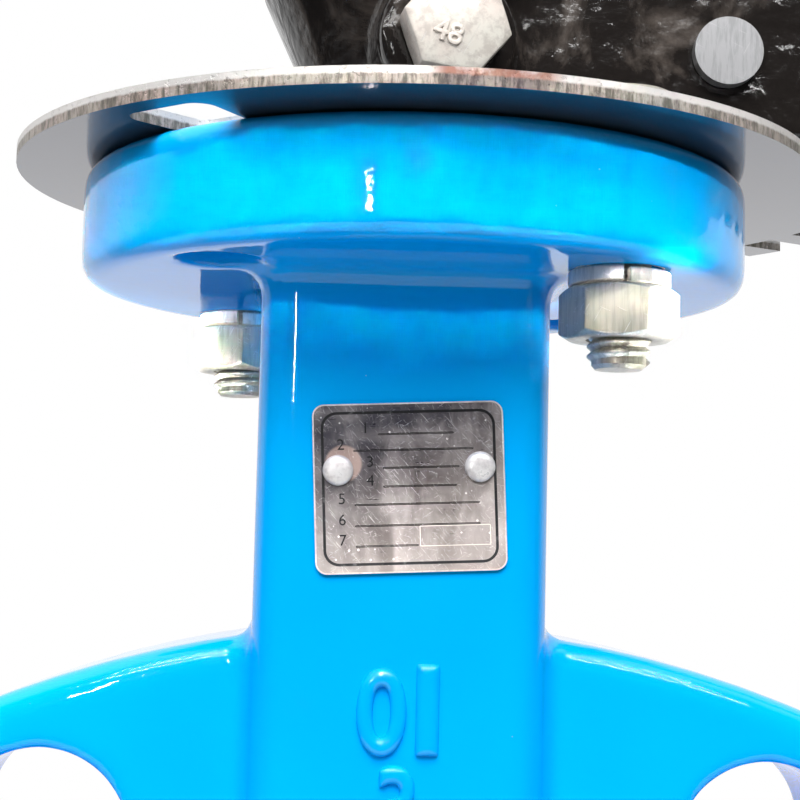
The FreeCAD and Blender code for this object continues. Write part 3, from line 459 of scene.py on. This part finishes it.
def applied(mesh, name, modifiers):
    """A mesh with a list of modifiers applied."""
    holder = bpy.data.objects.new(name, mesh)
    bpy.context.collection.objects.link(holder)
    for kind, settings in modifiers:
        modifier = holder.modifiers.new(kind.lower(), kind)
        for key, setting in settings.items():
            setattr(modifier, key, setting)
    shown = holder.evaluated_get(bpy.context.evaluated_depsgraph_get())
    result = bpy.data.meshes.new_from_object(shown)
    result.name = name
    bpy.data.objects.remove(holder)
    return result


def lathe(bm, profile, segments=96):
    """Spin a closed outline of radius and height pairs about Z."""
    verts = [bm.verts.new((radius, 0.0, height)) for radius, height in profile]
    edges = [bm.edges.new(pair) for pair in zip(verts, verts[1:] + verts[:1])]
    bmesh.ops.spin(bm, geom=verts + edges, cent=(0.0, 0.0, 0.0), axis=(0.0, 0.0, 1.0), dvec=(0.0, 0.0, 0.0),
                   angle=2.0 * math.pi, steps=segments, use_merge=True)
    bmesh.ops.remove_doubles(bm, verts=bm.verts, dist=1e-7)
    bmesh.ops.dissolve_degenerate(bm, edges=bm.edges, dist=1e-7)
    bmesh.ops.recalc_face_normals(bm, faces=bm.faces)


def hexagon(name, flats, profile, turn):
    """A hexagon bar cut to a turned outline, which gives it its chamfers and any bore."""
    heights = [height for _, height in profile]
    low, high = min(heights) - 1 * MM, max(heights) + 1 * MM
    middle = Matrix.Translation((0.0, 0.0, (low + high) / 2))
    corner = flats / math.sqrt(3.0)
    bar = bmesh.new()
    bmesh.ops.create_cone(bar, cap_ends=True, segments=6, radius1=corner, radius2=corner, depth=high - low,
                          matrix=middle @ Matrix.Rotation(turn + math.radians(30.0), 4, "Z"))
    turned = bmesh.new()
    lathe(turned, profile)
    cutter = bpy.data.objects.new("cutter", mesh_from(turned, "cutter"))
    bpy.context.collection.objects.link(cutter)
    result = applied(mesh_from(bar, name), name, [
        ("BOOLEAN", {"operation": "INTERSECT", "solver": "EXACT", "object": cutter}),
        ("BEVEL", {"width": 0.12 * MM, "segments": 2, "limit_method": "ANGLE",
                   "angle_limit": math.radians(40)}),
    ])
    bpy.data.objects.remove(cutter)
    return result


def add_thread(bm, radius, depth, pitch, low, high, around=48):
    """A closed helical thread about Z, with its open ends filled."""
    turns = int((high - low) / pitch)
    points = []
    for index in range(turns):
        base = low + index * pitch
        points += [(radius - depth, base), (radius - 0.12 * depth, base + 0.42 * pitch),
                   (radius - 0.12 * depth, base + 0.58 * pitch)]
    points.append((radius - depth, low + turns * pitch))
    verts = [bm.verts.new((r, 0.0, z)) for r, z in points]
    edges = [bm.edges.new(pair) for pair in zip(verts, verts[1:])]
    bmesh.ops.spin(bm, geom=verts + edges, cent=(0.0, 0.0, 0.0), axis=(0.0, 0.0, 1.0),
                   dvec=(0.0, 0.0, pitch / around), angle=2.0 * math.pi, steps=around)
    bmesh.ops.remove_doubles(bm, verts=bm.verts, dist=1e-6)
    rim = [edge for edge in bm.edges if edge.is_boundary]
    bmesh.ops.holes_fill(bm, edges=rim, sides=0)
    bmesh.ops.recalc_face_normals(bm, faces=bm.faces)


def join(name, meshes):
    """Join several meshes in one."""
    bm = bmesh.new()
    for mesh in meshes:
        bm.from_mesh(mesh)
    return mesh_from(bm, name)


def moved(mesh, matrix):
    mesh.transform(matrix)
    return mesh


def text_mesh(words, height, thickness, soft=0.0, swell=0.0):
    """Raised characters, flat on XY and centred."""
    curve = bpy.data.curves.new("characters", "FONT")
    curve.body = words
    curve.size = height / 0.7
    curve.extrude = thickness / 2
    curve.bevel_depth = soft
    curve.bevel_resolution = 2
    curve.offset = swell
    curve.align_x = "CENTER"
    curve.align_y = "CENTER"
    holder = bpy.data.objects.new("characters", curve)
    bpy.context.collection.objects.link(holder)
    shown = holder.evaluated_get(bpy.context.evaluated_depsgraph_get())
    mesh = bpy.data.meshes.new_from_object(shown)
    bpy.data.objects.remove(holder)
    bm = bmesh.new()
    bm.from_mesh(mesh)
    bmesh.ops.remove_doubles(bm, verts=bm.verts, dist=1e-7)
    bm.to_mesh(mesh)
    bm.free()
    return mesh


def cast_skin(node, name, material, voxel, close, rounds, limit):
    """A casting's skin: the node's shape with its corners rounded in and out, thinned to a face limit."""
    bm = bmesh.new()
    bm.from_mesh(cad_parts[node].data)
    bmesh.ops.remove_doubles(bm, verts=bm.verts, dist=1e-6)
    steps = [
        ("REMESH", {"mode": "VOXEL", "voxel_size": voxel}),
        ("SMOOTH", {"factor": 0.5, "iterations": rounds}),
        ("DISPLACE", {"strength": close, "mid_level": 0.0}),
        ("REMESH", {"mode": "VOXEL", "voxel_size": voxel}),
        ("SMOOTH", {"factor": 0.5, "iterations": 2}),
        ("DISPLACE", {"strength": -close, "mid_level": 0.0}),
        ("SMOOTH", {"factor": 0.5, "iterations": rounds}),
    ]
    mesh = applied(mesh_from(bm, name), name, steps)
    triangles = sum(len(face.vertices) - 2 for face in mesh.polygons)
    if triangles > limit:
        mesh = applied(mesh, name, [("DECIMATE", {"ratio": limit / triangles})])
    print(name, triangles, "triangles before thinning,", len(mesh.polygons), "faces kept")
    piece = new_piece(name, mesh, material, sharp=None)
    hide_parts(node)
    return piece


# ---------------------------------------------------------------- castings

# Sizes and places from here on are in millimetres, unless MM follows.
# Each numeral, with its left and right edge across and its lower and upper edge in height.
MARKS = (("0", -6.5, -0.3, 122.8, 133.6), ("1", 0.8, 3.7, 123.0, 134.2), ("3", -3.7, 1.0, 111.1, 121.9))
MARK_STEPS = ((-0.35, 1.0), (0.25, 0.25))
MARK_RISE = 0.85
NECK_FRONT = -22.0


def raised_marks():
    """Generic cast numerals on the front of the neck, soft under their paint."""
    meshes = []
    for words, left, right, low, high in MARKS:
        for swell, rise in MARK_STEPS:
            mark = text_mesh(words, 10.0 * MM, 0.4 * MM, soft=rise * MARK_RISE * MM, swell=swell * MM)
            spots = [vert.co for vert in mark.vertices]
            wide = [min(spot.x for spot in spots), max(spot.x for spot in spots)]
            tall = [min(spot.y for spot in spots), max(spot.y for spot in spots)]
            fit = Matrix.Diagonal(((right - left) * MM / (wide[1] - wide[0]),
                                   (high - low) * MM / (tall[1] - tall[0]), 1.0, 1.0))
            centre = Matrix.Translation((-sum(wide) / 2, -sum(tall) / 2, 0.0))
            stand = Matrix.Translation(((left + right) / 2 * MM, NECK_FRONT * MM, (low + high) / 2 * MM))
            meshes.append(moved(mark, stand @ Matrix.Rotation(math.pi / 2, 4, "X") @ fit @ centre))
    return applied(join("cast_numerals", meshes), "cast_numerals", [
        ("REMESH", {"mode": "VOXEL", "voxel_size": 0.16 * MM}),
        ("SMOOTH", {"factor": 0.5, "iterations": 16}),
    ])


def make_castings():
    paint = blue_paint()
    body = cast_skin("body_casting", "casting_skin", paint, 0.75 * MM, 1.2 * MM, 3, 196000)
    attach(body, "valve_body")
    marks = new_piece("cast_numerals", raised_marks(), paint, sharp=None)
    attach(marks, "valve_body")
    lever = cast_skin("lever", "lever_skin", black_paint(), 0.8 * MM, 1.2 * MM, 4, 150000)
    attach(lever, "turning_set")


# ---------------------------------------------------------------- fasteners

BOLT_REACH = 35.0 * math.cos(math.pi / 4)
# Each bolt's place across and along the pipe, and its hexagon's turn in degrees.
BOLT_SPOTS = ((BOLT_REACH, -BOLT_REACH, 48.0), (-BOLT_REACH, BOLT_REACH, 34.5))
BOLT_RADIUS = 4.0
BOLT_FLATS = 13.0
PITCH = 1.25
THREAD_DEPTH = 0.65
THREAD_TOP = 183.5
PLATE_THICKNESS = 2.0
WASHER_OUTER = 6.35
WASHER_LIFT = 0.25
WASHER_TURN = math.radians(-86)
CLAMP_FLATS = 12.0
CLAMP_LEVEL = 213.3
CLAMP_TIP = 7.04
CLAMP_FACE = 23.32
CLAMP_HEAD = 5.3
CLAMP_TURN = math.radians(58.0)
CLAMP_AIM = math.radians(8.0)
HEAD_NUMBER = "48"
HEAD_NUMBER_PLACE = (-1.1, -1.9)


def at_spot(across, along):
    return Matrix.Translation((across * MM, along * MM, 0.0))


def in_mm(profile):
    return [(radius * MM, height * MM) for radius, height in profile]


def hex_profile(flats, low, high, chamfer, bore=0.0):
    """Outline that chamfers a hexagon's ends, with an optional bore."""
    corner, face = flats / math.sqrt(3.0) + 0.05, flats / 2 * 0.95
    outline = [(bore, low), (face, low), (corner, low + chamfer), (corner, high - chamfer), (face, high)]
    return in_mm([*outline, (bore, high)])


def threaded_shank(name, radius, low, high, thread_low, thread_high):
    """A bolt's shank with a rolled helical thread on part of it."""
    root = radius - THREAD_DEPTH
    core = bmesh.new()
    lathe(core, in_mm([(0.0, low), (radius - 1.1, low), (root, low + 0.5), (root, thread_high),
                       (radius - 0.05, thread_high + 0.3), (radius - 0.05, high), (0.0, high)]), 64)
    thread = bmesh.new()
    add_thread(thread, radius * MM, THREAD_DEPTH * MM, PITCH * MM, thread_low * MM, thread_high * MM)
    return join(name, [mesh_from(core, name), mesh_from(thread, name)])


def make_plate_bolts(plating):
    low, high = (corner[2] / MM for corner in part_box("plate_bolts"))
    seat = PLATE_LOW / MM + PLATE_THICKNESS
    shank = threaded_shank("bolt_shank", BOLT_RADIUS, low + 0.4, seat + 0.5, low + 0.8, THREAD_TOP)
    outline = hex_profile(BOLT_FLATS, seat, high, 0.75)
    meshes = []
    for across, along, turn in BOLT_SPOTS:
        head = hexagon("bolt_head", BOLT_FLATS * MM, outline, math.radians(turn))
        meshes += [moved(head, at_spot(across, along)), moved(shank.copy(), at_spot(across, along))]
    bolts = new_piece("plate_bolt_set", join("plate_bolt_set", meshes), plating)
    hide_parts("plate_bolts")
    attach(bolts, "valve_body")


def make_nuts(plating):
    low, high = (corner[2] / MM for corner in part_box("plate_nuts"))
    outline = hex_profile(BOLT_FLATS, low, high, 0.85, bore=BOLT_RADIUS + 0.05)
    meshes = []
    for across, along, turn in BOLT_SPOTS:
        nut = hexagon("nut", BOLT_FLATS * MM, outline, math.radians(turn))
        meshes.append(moved(nut, at_spot(across, along)))
    nuts = new_piece("plate_nut_set", join("plate_nut_set", meshes), plating)
    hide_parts("plate_nuts")
    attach(nuts, "valve_body")


def make_spring_washers(plating):
    """Split rings with their ends a little apart, as when tightened."""
    low, high = (corner[2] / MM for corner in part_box("plate_spring_washers"))
    inner, outer, corner = BOLT_RADIUS + 0.35, WASHER_OUTER, 0.15
    top = high - WASHER_LIFT
    steps = 88
    section = [(inner + corner, low), (outer - corner, low), (outer, low + corner), (outer, top - corner),
               (outer - corner, top), (inner + corner, top), (inner, top - corner), (inner, low + corner)]
    meshes = []
    for across, along, _ in BOLT_SPOTS:
        bm = bmesh.new()
        verts = [bm.verts.new((radius * MM, 0.0, height * MM)) for radius, height in section]
        start = bm.faces.new(verts)
        bmesh.ops.spin(bm, geom=[start], cent=(0.0, 0.0, 0.0), axis=(0.0, 0.0, 1.0),
                       dvec=(0.0, 0.0, WASHER_LIFT * MM / steps), angle=math.radians(352.0), steps=steps)
        bmesh.ops.recalc_face_normals(bm, faces=bm.faces)
        place = at_spot(across, along) @ Matrix.Rotation(WASHER_TURN, 4, "Z")
        meshes.append(moved(mesh_from(bm, "spring_washer"), place))
    washers = new_piece("split_washer_set", join("split_washer_set", meshes), plating)
    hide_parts("plate_spring_washers")
    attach(washers, "valve_body")


def make_clamp_bolt(plating):
    """Hexagon bolt in the lever's hub, with a plain number on its head."""
    way = Vector((math.sin(CLAMP_AIM), -math.cos(CLAMP_AIM), 0.0))
    turn = Vector((0.0, 0.0, 1.0)).rotation_difference(way).to_matrix().to_4x4()
    top = CLAMP_FACE + CLAMP_HEAD
    head = hexagon("clamp_head", CLAMP_FLATS * MM, hex_profile(CLAMP_FLATS, CLAMP_FACE, top, 0.5), CLAMP_TURN)
    radius, washer = BOLT_RADIUS - 0.05, 5.6
    shank = bmesh.new()
    lathe(shank, in_mm([(0.0, CLAMP_TIP), (BOLT_RADIUS - 0.7, CLAMP_TIP), (radius, CLAMP_TIP + 0.7),
                        (radius, CLAMP_FACE - 0.28), (washer, CLAMP_FACE - 0.28),
                        (washer, CLAMP_FACE + 0.3), (0.0, CLAMP_FACE + 0.3)]))
    across, up = HEAD_NUMBER_PLACE
    number = moved(text_mesh(HEAD_NUMBER, 2.6 * MM, 0.45 * MM, soft=0.10 * MM),
                   Matrix.Translation((across * MM, up * MM, top * MM)) @ Matrix.Rotation(-CLAMP_AIM, 4, "Z"))
    whole = moved(join("clamp_bolt_detailed", [head, mesh_from(shank, "clamp_shank"), number]),
                  Matrix.Translation((0.0, 0.0, CLAMP_LEVEL * MM)) @ turn)
    bolt = new_piece("clamp_bolt_detailed", whole, plating)
    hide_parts("clamp_bolt")
    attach(bolt, "turning_set")


# ---------------------------------------------------------------- nameplate

LABEL_CENTRE = (-0.6, 155.8)
LABEL_TURN = math.radians(2.9)
LABEL_SIZE = (23.7, 21.0)
LABEL_FRONT = -22.5
PRINT_THICKNESS = 0.03
HALO_CENTRE = (-8.1, 3.1)
RIVET_SPREAD = 8.8
RIVET_UP = 2.3
RIVET_RADIUS = 1.9
# Each row's left and right end and its height, from the nameplate's centre.
RULED_ROWS = ((-5.3, 5.6, 7.4), (-8.4, 8.0, 5.4), (-4.8, 6.2, 3.2), (-4.8, 5.8, 0.9), (-8.4, 8.6, -1.3),
              (-8.4, 8.6, -3.9), (-8.4, 0.9, -6.4))


def label_place(across, up):
    """From the nameplate's own plane to the object: X across, Y up and Z out of it."""
    upright = Matrix.Rotation(-LABEL_TURN, 4, "Y") @ Matrix.Rotation(math.pi / 2, 4, "X")
    centre = Matrix.Translation((LABEL_CENTRE[0] * MM, LABEL_FRONT * MM, LABEL_CENTRE[1] * MM))
    return centre @ upright @ Matrix.Translation((across * MM, up * MM, 0.0))


def add_band(bm, outline, width):
    """A flat closed band of print along an outline of points on XY."""
    count = len(outline)
    rings = []
    for index in range(count):
        here = Vector(outline[index])
        along = (Vector(outline[(index + 1) % count]) - Vector(outline[index - 1])).normalized()
        out = Vector((along.y, -along.x))
        outer, inner = here + out * width / 2, here - out * width / 2
        corners = [(outer, 0.0), (outer, PRINT_THICKNESS), (inner, PRINT_THICKNESS), (inner, 0.0)]
        rings.append([bm.verts.new((spot.x * MM, spot.y * MM, height * MM)) for spot, height in corners])
    for index in range(count):
        this, following = rings[index], rings[(index + 1) % count]
        for side in range(4):
            other = (side + 1) % 4
            bm.faces.new((this[side], following[side], following[other], this[other]))
    bmesh.ops.recalc_face_normals(bm, faces=bm.faces)


def rounded_box(width, height, radius, centre=(0.0, 0.0), steps=8):
    """Points of a rounded rectangle on XY."""
    points = []
    for turn, (side, rise) in enumerate(((1, 1), (-1, 1), (-1, -1), (1, -1))):
        for step in range(steps + 1):
            angle = math.radians(90.0 * (turn + step / steps))
            points.append((centre[0] + side * (width / 2 - radius) + radius * math.cos(angle),
                           centre[1] + rise * (height / 2 - radius) + radius * math.sin(angle)))
    return points


def print_piece(name, bm, ink):
    piece = new_piece(name, moved(mesh_from(bm, name), label_place(0.0, 0.0)), ink)
    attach(piece, "valve_body")


def make_nameplate_print():
    """A black border with numbered ruled rows, a bright edge band that is a painted highlight of the bevel,
    and an empty light box.
    """
    black = bmesh.new()
    add_band(black, rounded_box(LABEL_SIZE[0] - 2.4, LABEL_SIZE[1] - 2.3, 1.8), 0.34)
    for number, (start, end, up) in enumerate(RULED_ROWS, start=1):
        centre = ((start + end) / 2 + 0.8, up - 0.75)
        add_band(black, rounded_box(end - start - 1.6, 0.14, 0.05, centre=centre, steps=2), 0.08)
        digit = text_mesh(str(number), 1.35 * MM, PRINT_THICKNESS * MM)
        place = Matrix.Translation((start * MM, up * MM, PRINT_THICKNESS / 2 * MM))
        black.from_mesh(moved(digit, place))
    ink = print_ink("black_ink", (0.006, 0.006, 0.007), (0.20, 0.20, 0.20))
    print_piece("nameplate_border", black, ink)
    # The bright band round the plate's edge is a painted highlight of its bevel.
    edge = bmesh.new()
    add_band(edge, rounded_box(LABEL_SIZE[0] - 0.2, LABEL_SIZE[1] - 0.2, 1.4), 0.18)
    worn = metal("painted_edge_highlight", (1.0, 0.94, 0.90), (0.60, 0.54, 0.53), 0.28, shine=0.2, depth=0.02,
                 blotch=160.0)
    print_piece("nameplate_edge", edge, worn)
    light = bmesh.new()
    add_band(light, rounded_box(8.7, 2.45, 0.12, centre=(5.5, -6.05)), 0.09)
    print_piece("nameplate_box", light, print_ink("light_ink", (0.92, 0.86, 0.76), (0.5, 0.46, 0.42)))


def make_rivets(finish):
    """Two rivets with low domed heads."""
    profile = [(0.0, -5.0), (0.98, -5.0), (0.98, 0.0), (RIVET_RADIUS - 0.04, 0.0), (RIVET_RADIUS, 0.15)]
    for angle in range(10, 90, 8):
        along, out = math.cos(math.radians(angle)), math.sin(math.radians(angle))
        profile.append((RIVET_RADIUS * along ** 0.55, 0.15 + 0.72 * out ** 0.8))
    profile.append((0.0, 0.9))
    meshes = []
    for side in (-1, 1):
        bm = bmesh.new()
        lathe(bm, in_mm(profile), 48)
        meshes.append(moved(mesh_from(bm, "rivet"), label_place(side * RIVET_SPREAD, RIVET_UP)))
    rivets = new_piece("domed_rivets", join("domed_rivets", meshes), finish, sharp=50.0)
    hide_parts("nameplate_rivets")
    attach(rivets, "valve_body")


def make_latch_coil(finish):
    """The latch spring as a copy of its node's mesh; on the real valve its lower end goes up and down with
    the trigger.
    """
    bm = bmesh.new()
    bm.from_mesh(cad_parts["latch_spring"].data)
    bmesh.ops.remove_doubles(bm, verts=bm.verts, dist=1e-6)
    coil = new_piece("latch_coil", mesh_from(bm, "latch_coil"), finish, sharp=50.0)
    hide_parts("latch_spring")
    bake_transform(coil)


# ---------------------------------------------------------------- the whole object

def dress_nodes():
    dress(plate_steel(), "notch_plate")
    dress(rubber(), "seat_liner", "dust_seal", "stem_o_rings")
    dress(label_metal(), "nameplate")
    dress(disc_metal(), "disc")
    dress(metal("ground_steel", (0.50, 0.50, 0.51), (0.40, 0.40, 0.41), 0.34, shine=0.7,
                grain=(1500.0, 1500.0, 200.0)),
          "stem", "disc_pins", "latch_pivot_pin")
    dress(metal("bearing_bronze", (0.62, 0.42, 0.22), (0.50, 0.33, 0.18), 0.34),
          "lower_bushing", "middle_bushing", "upper_bushing", "thrust_washer")
    dress(metal("seal_copper", (0.72, 0.36, 0.24), (0.55, 0.28, 0.20), 0.34), "bottom_plug_seal")
    wire = metal("spring_wire_steel", (0.50, 0.50, 0.51), (0.34, 0.34, 0.35), 0.30)
    dress(wire, "stem_circlip", "latch_pin_clip")
    make_latch_coil(wire)
    dress(metal("plug_zinc", (0.72, 0.72, 0.70), (0.60, 0.60, 0.60), 0.30), "bottom_plug")
    dress(metal("trigger_zinc", (0.68, 0.68, 0.66), (0.52, 0.52, 0.52), 0.32), "latch_trigger")


def make_fasteners():
    plating = metal("bright_zinc", (0.58, 0.55, 0.48), (0.44, 0.41, 0.34), 0.30, shine=0.62, scratch=0.9,
                    grain=(1800.0, 1800.0, 160.0), depth=0.05)
    make_plate_bolts(plating)
    make_nuts(plating)
    make_spring_washers(metal("spring_zinc", (0.92, 0.88, 0.80), (0.66, 0.61, 0.55), 0.30, shine=0.35,
                              grain=(1600.0, 1600.0, 300.0), depth=0.06))
    make_clamp_bolt(metal("head_zinc", (0.72, 0.70, 0.63), (0.64, 0.53, 0.48), 0.36, shine=0.25,
                          scratch=0.9, depth=0.05, blotch=90.0))
    make_rivets(metal("rivet_aluminium", (0.94, 0.92, 0.90), (0.76, 0.71, 0.71), 0.30, shine=0.3,
                      scratch=0.7, depth=0.04, blotch=300.0))


# Lamps that light surfaces but make no reflections: place, target, width, watts, height and spread.
LIGHTING_LAMPS = {
    "key_lamp": ((-0.04, -0.84, 1.20), (0.0, 0.0, 0.15), 1.2, 44.0, 1.2, None),
    "rim_lamp": ((-0.03, -0.72, 0.36), (-0.013, -0.045, 0.192), 0.12, 0.0085, 0.006, 2.5),
    "nut_lamp_0": ((-0.46, -0.40, 0.16), (-0.030, 0.024, 0.177), 0.010, 0.011, None, 2.5),
    "nut_lamp_1": ((0.30, -0.60, 0.12), (0.031, -0.031, 0.1765), 0.006, 0.0050, None, 1.6),
}
# Thin lamps that only make reflections, in the same order.
TUBE_TARGET = (0.0, 0.0, 0.13)
GLINT_TARGET = (-0.004, -0.022, 0.118)
REFLECTED_LAMPS = {
    "tube_0": ((0.05, -0.72, 0.62), TUBE_TARGET, 0.8, 2.0, 0.010, None),
    "tube_1": ((0.05, -0.62, 0.78), TUBE_TARGET, 0.8, 2.0, 0.010, None),
    "tube_2": ((0.05, -0.48, 0.88), TUBE_TARGET, 0.8, 2.0, 0.010, None),
    "glint_0": ((-0.02, -0.74, 0.50), GLINT_TARGET, 0.6, 0.30, 0.008, 5.0),
    "glint_1": ((-0.02, -0.74, 0.66), GLINT_TARGET, 0.6, 0.30, 0.008, 5.0),
}


def make_lamps():
    for name, settings in LIGHTING_LAMPS.items():
        make_lamp(name, *settings).visible_glossy = False
    make_lamp("side_strip", (-0.155, -0.52, 0.252), (0.0, -0.02, 0.18), 0.012, 0.25, height=0.085)
    for name, settings in REFLECTED_LAMPS.items():
        make_lamp(name, *settings).visible_diffuse = False


def make_surroundings():
    bm = bmesh.new()
    bmesh.ops.create_circle(bm, cap_ends=True, segments=96, radius=0.6,
                            matrix=Matrix.Translation((0.0, 0.0, cad_box[0][2] - 0.1 * MM)))
    floor = new_piece("floor", mesh_from(bm, "floor"), floor_finish(), sharp=None)
    make_lamps()
    make_world()


make_castings()
make_fasteners()
make_nameplate_print()
dress_nodes()
make_camera()
make_surroundings()
bpy.context.scene.view_settings.view_transform = "Standard"
bpy.context.view_layer.update()
